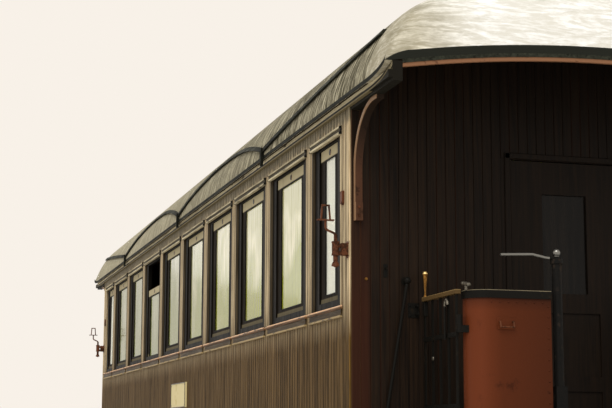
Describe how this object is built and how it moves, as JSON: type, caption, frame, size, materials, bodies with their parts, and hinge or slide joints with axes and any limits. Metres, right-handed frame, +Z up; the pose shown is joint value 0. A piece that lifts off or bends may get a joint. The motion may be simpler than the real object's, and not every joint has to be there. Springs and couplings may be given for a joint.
{
  "type": "bogie passenger coach with open end platforms",
  "caption": "Wooden-bodied bogie railway passenger coach with open end platforms, arched canvas roof, side windows, dash panels, gates and buffers.",
  "frame": {"origin": "midway along and across the coach, on the floor that the wheel flanges stand on", "axes": "+X along the coach to its near end, +Y across to the far side, +Z up"},
  "size_m": [13.608, 3.196, 4.3499],
  "materials": {
    "side_wood": "weathered varnished boards",
    "frame_wood": "dark stained varnish",
    "moulding_wood": "worn pale wood",
    "sill_paint": "worn varnish, copper brown",
    "roof_canvas": "wrinkled painted canvas",
    "strip_wood": "tarred batten",
    "inner_wood": "varnished slats",
    "floor_wood": "worn boards",
    "black_iron": "worn black paint",
    "red_iron": "rusty red-brown paint",
    "dash_paint": "scratched terracotta paint",
    "board_paint": "cream enamel, bare",
    "buffer_steel": "greased steel",
    "wheel_steel": "rust brown with bright treads",
    "window_glass": "rain-streaked clear glass"
  },
  "bodies": {
    "coach": {"side_left": "side_wood", "side_right": "side_wood", "window_casings": "frame_wood", "window_sashes": "frame_wood", "end_walls": "frame_wood", "drip_mouldings": "moulding_wood", "cornices": "moulding_wood", "sill_bars": "sill_paint", "roof": "roof_canvas", "roof_ends": "roof_canvas", "rain_strips": "strip_wood", "canopy_fascias": "strip_wood", "benches": "inner_wood", "partitions": "inner_wood", "floor": "floor_wood", "platform_floors": "floor_wood", "steps": "floor_wood", "solebars": "black_iron", "headstocks": "black_iron", "cross_bearers": "black_iron", "truss_rods": "black_iron", "brake_reservoir": "black_iron", "brake_cylinder": "black_iron", "battery_box": "black_iron", "dash_rails": "black_iron", "gate_hinges": "black_iron", "hand_bars": "black_iron", "brake_columns": "black_iron", "drawhooks": "black_iron", "screw_couplings": "black_iron", "fall_plate_lugs": "black_iron", "roof_vents": "black_iron", "knee_brackets": "red_iron", "lamp_irons": "red_iron", "canopy_beads": "red_iron", "dash_panels": "dash_paint", "side_boards": "board_paint", "buffers": "buffer_steel", "window_panes": "window_glass"},
    "bogie_near": {"bogie_frame_near": "black_iron", "axleboxes_near": "black_iron"},
    "bogie_far": {"bogie_frame_far": "black_iron", "axleboxes_far": "black_iron"},
    "wheelset_1": {"wheelset_1": "wheel_steel"},
    "wheelset_2": {"wheelset_2": "wheel_steel"},
    "wheelset_3": {"wheelset_3": "wheel_steel"},
    "wheelset_4": {"wheelset_4": "wheel_steel"},
    "end_door_near": {"end_door_near": "frame_wood", "door_pane_near": "window_glass"},
    "end_door_far": {"end_door_far": "frame_wood", "door_pane_far": "window_glass"},
    "fall_plate_near": {"fall_plate_near": "black_iron"},
    "fall_plate_far": {"fall_plate_far": "black_iron"},
    "gate_near_left": {"gate_near_left": "black_iron"},
    "gate_near_right": {"gate_near_right": "black_iron"},
    "gate_far_left": {"gate_far_left": "black_iron"},
    "gate_far_right": {"gate_far_right": "black_iron"}
  },
  "joints": [
    {"name": "bogie_near_pivot", "type": "hinge", "parent": "coach", "child": "bogie_near", "pos_m": [3.8, 0, 1], "axis": [0, 0, 1], "range_deg": [-6, 6]},
    {"name": "bogie_far_pivot", "type": "hinge", "parent": "coach", "child": "bogie_far", "pos_m": [-3.8, 0, 1], "axis": [0, 0, 1], "range_deg": [-6, 6]},
    {"name": "wheelset_1_spin", "type": "hinge", "parent": "bogie_near", "child": "wheelset_1", "pos_m": [4.7, 0, 0.488], "axis": [0, 1, 0], "continuous": true},
    {"name": "wheelset_2_spin", "type": "hinge", "parent": "bogie_near", "child": "wheelset_2", "pos_m": [2.9, 0, 0.488], "axis": [0, 1, 0], "continuous": true},
    {"name": "wheelset_3_spin", "type": "hinge", "parent": "bogie_far", "child": "wheelset_3", "pos_m": [-4.7, 0, 0.488], "axis": [0, 1, 0], "continuous": true},
    {"name": "wheelset_4_spin", "type": "hinge", "parent": "bogie_far", "child": "wheelset_4", "pos_m": [-2.9, 0, 0.488], "axis": [0, 1, 0], "continuous": true},
    {"name": "end_door_near_hinge", "type": "hinge", "parent": "coach", "child": "end_door_near", "pos_m": [5.346, 0.359, 2.2], "axis": [0, 0, -1], "range_deg": [0, 90]},
    {"name": "end_door_far_hinge", "type": "hinge", "parent": "coach", "child": "end_door_far", "pos_m": [-5.346, 0.359, 2.2], "axis": [0, 0, 1], "range_deg": [0, 90]},
    {"name": "gate_near_left_hinge", "type": "hinge", "parent": "coach", "child": "gate_near_left", "pos_m": [6.034, -0.96, 1.75], "axis": [0, 0, 1], "range_deg": [0, 90]},
    {"name": "gate_near_right_hinge", "type": "hinge", "parent": "coach", "child": "gate_near_right", "pos_m": [6.034, 0.96, 1.75], "axis": [0, 0, -1], "range_deg": [0, 90]},
    {"name": "gate_far_left_hinge", "type": "hinge", "parent": "coach", "child": "gate_far_left", "pos_m": [-6.034, -0.96, 1.75], "axis": [0, 0, -1], "range_deg": [0, 90]},
    {"name": "gate_far_right_hinge", "type": "hinge", "parent": "coach", "child": "gate_far_right", "pos_m": [-6.034, 0.96, 1.75], "axis": [0, 0, 1], "range_deg": [0, 90]},
    {"name": "fall_plate_near_hinge", "type": "hinge", "parent": "coach", "child": "fall_plate_near", "pos_m": [6.198, 0, 1.238], "axis": [0, -1, 0], "range_deg": [0, 85]},
    {"name": "fall_plate_far_hinge", "type": "hinge", "parent": "coach", "child": "fall_plate_far", "pos_m": [-6.198, 0, 1.238], "axis": [0, 1, 0], "range_deg": [0, 85]}
  ]
}
